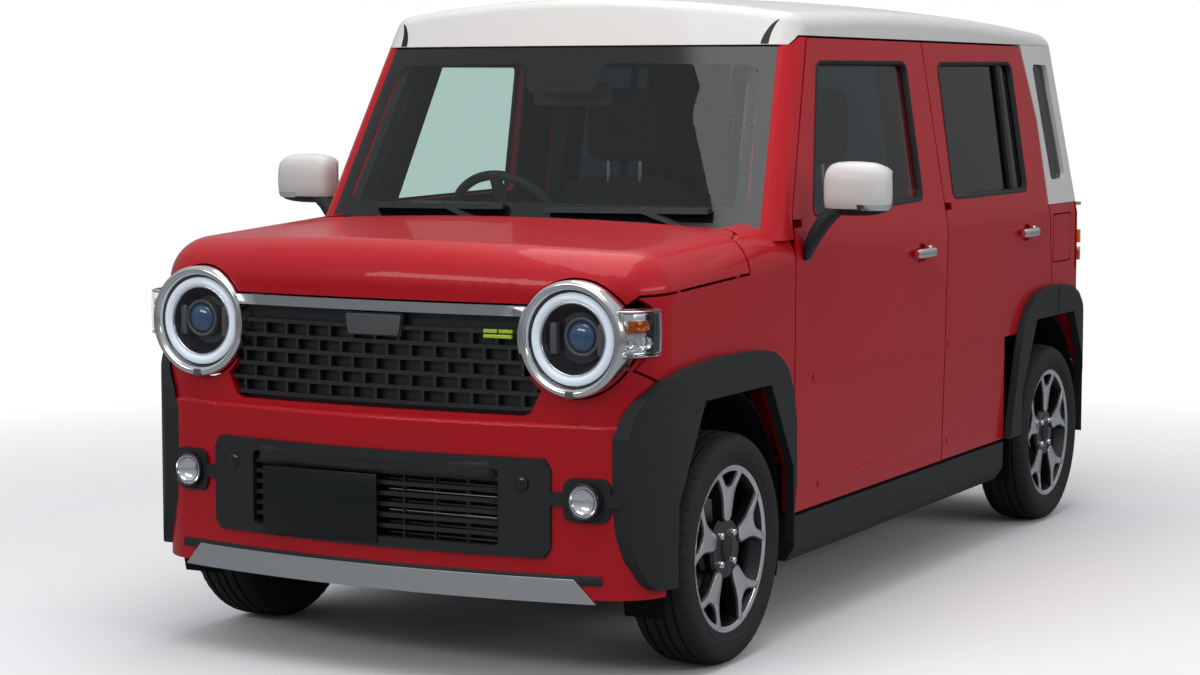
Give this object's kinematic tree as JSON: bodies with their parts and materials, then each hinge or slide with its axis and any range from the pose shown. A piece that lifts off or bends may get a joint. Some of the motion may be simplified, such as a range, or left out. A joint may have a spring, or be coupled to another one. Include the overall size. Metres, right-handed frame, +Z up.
{
  "type": "kei car",
  "caption": "Tall five-door kei car with round headlamps, white roof, dark wheel arch cladding and alloy wheels, with opening doors, bonnet, tailgate and steering.",
  "frame": {"origin": "on the ground under the middle of the car's box", "axes": "+Z up, the nose points to -Y, +X is the car's own left side"},
  "size_m": [1.874, 3.395, 1.7777],
  "materials": {
    "body_red": "gloss",
    "roof_white": "gloss",
    "black_plastic": "grained",
    "gloss_black": "gloss",
    "chrome": "bright",
    "silver": "satin",
    "clear_glass": "clear",
    "privacy_glass": "dark",
    "lamp_lens": "clear",
    "tail_lens": "red",
    "tyre": "matt",
    "alloy": "machined",
    "dark_steel": "rough",
    "body_steel": "satin",
    "cabin_plastic": "grained",
    "seat_cloth": "woven",
    "exhaust_steel": "dull"
  },
  "bodies": {
    "root": {"front_fenders": "body_red", "front_bumper": "body_red", "lower_quarters": "body_red", "side_frames": "body_red", "roof_panel": "roof_white", "upper_quarters": "roof_white", "rear_bumper": "body_red", "fixed_glass": "clear_glass", "grille": "gloss_black", "front_trim": "chrome", "front_lamps": "lamp_lens", "tail_lamps": "tail_lens", "lower_guard": "black_plastic", "skid_bar": "silver", "arch_flares": "black_plastic", "sill_cladding": "black_plastic", "wipers": "black_plastic", "antenna": "black_plastic", "inner_mirror": "cabin_plastic", "dashboard": "cabin_plastic", "front_seats": "seat_cloth", "rear_seat": "seat_cloth", "floor_pan": "body_steel", "bulkhead": "body_steel", "front_suspension": "dark_steel", "rear_axle": "dark_steel", "powertrain": "dark_steel", "tank_exhaust": "exhaust_steel"},
    "knuckle_left": {"knuckle_left": "dark_steel"},
    "knuckle_right": {"knuckle_right": "dark_steel"},
    "steering_wheel": {"steering_wheel": "cabin_plastic"},
    "tailgate": {"tailgate": "body_red", "tailgate_glass": "privacy_glass"},
    "bonnet": {"bonnet": "body_red"},
    "fuel_lid": {"fuel_lid": "body_red"},
    "wheel_front_left": {"tyre_front_left": "tyre", "rim_front_left": "alloy"},
    "door_front_left": {"door_front_left": "body_red", "glass_front_left": "clear_glass", "mirror_left": "roof_white"},
    "wheel_front_right": {"tyre_front_right": "tyre", "rim_front_right": "alloy"},
    "door_front_right": {"door_front_right": "body_red", "glass_front_right": "clear_glass", "mirror_right": "roof_white"},
    "wheel_rear_left": {"tyre_rear_left": "tyre", "rim_rear_left": "alloy"},
    "door_rear_left": {"door_rear_left": "body_red", "glass_rear_left": "privacy_glass", "door_flare_left": "black_plastic"},
    "wheel_rear_right": {"tyre_rear_right": "tyre", "rim_rear_right": "alloy"},
    "door_rear_right": {"door_rear_right": "body_red", "glass_rear_right": "privacy_glass", "door_flare_right": "black_plastic"}
  },
  "joints": [
    {"name": "steer_left", "type": "hinge", "parent": "root", "child": "knuckle_left", "pos_m": [0.578, -1.1645, 0.215], "axis": [-0.191, 0, 0.9816], "range_deg": [-34, 34]},
    {"name": "wheel_front_left_spin", "type": "hinge", "parent": "knuckle_left", "child": "wheel_front_left", "pos_m": [0.645, -1.1645, 0.288], "axis": [1, 0, 0], "continuous": true},
    {"name": "wheel_rear_left_spin", "type": "hinge", "parent": "root", "child": "wheel_rear_left", "pos_m": [0.645, 1.2955, 0.288], "axis": [1, 0, 0], "continuous": true},
    {"name": "door_front_left_hinge", "type": "hinge", "parent": "root", "child": "door_front_left", "pos_m": [0.698, -0.7235, 0.65], "axis": [0, 0, -1], "range_deg": [0, 65]},
    {"name": "door_rear_left_hinge", "type": "hinge", "parent": "root", "child": "door_rear_left", "pos_m": [0.698, 0.3855, 0.65], "axis": [0, 0, -1], "range_deg": [0, 65]},
    {"name": "steer_right", "type": "hinge", "parent": "root", "child": "knuckle_right", "pos_m": [-0.578, -1.1645, 0.215], "axis": [0.191, 0, 0.9816], "range_deg": [-34, 34]},
    {"name": "wheel_front_right_spin", "type": "hinge", "parent": "knuckle_right", "child": "wheel_front_right", "pos_m": [-0.645, -1.1645, 0.288], "axis": [1, 0, 0], "continuous": true},
    {"name": "wheel_rear_right_spin", "type": "hinge", "parent": "root", "child": "wheel_rear_right", "pos_m": [-0.645, 1.2955, 0.288], "axis": [1, 0, 0], "continuous": true},
    {"name": "door_front_right_hinge", "type": "hinge", "parent": "root", "child": "door_front_right", "pos_m": [-0.698, -0.7235, 0.65], "axis": [0, 0, 1], "range_deg": [0, 65]},
    {"name": "door_rear_right_hinge", "type": "hinge", "parent": "root", "child": "door_rear_right", "pos_m": [-0.698, 0.3855, 0.65], "axis": [0, 0, 1], "range_deg": [0, 65]},
    {"name": "steering_wheel_turn", "type": "hinge", "parent": "root", "child": "steering_wheel", "pos_m": [-0.33, -0.44, 1.01], "axis": [0, 0.9063, 0.4226], "range_deg": [-544, 544]},
    {"name": "tailgate_hinge", "type": "hinge", "parent": "root", "child": "tailgate", "pos_m": [0, 1.574, 1.634], "axis": [1, 0, 0], "range_deg": [0, 80]},
    {"name": "bonnet_hinge", "type": "hinge", "parent": "root", "child": "bonnet", "pos_m": [0, -0.998, 1.084], "axis": [-1, 0, 0], "range_deg": [0, 50]},
    {"name": "fuel_lid_hinge", "type": "hinge", "parent": "root", "child": "fuel_lid", "pos_m": [0.706, 1.34, 0.925], "axis": [0, 0, -1], "range_deg": [0, 100]}
  ],
  "couplings": [
    {"joint": "steer_right", "follows": "steer_left", "ratio": 1},
    {"joint": "steering_wheel_turn", "follows": "steer_left", "ratio": -16}
  ]
}
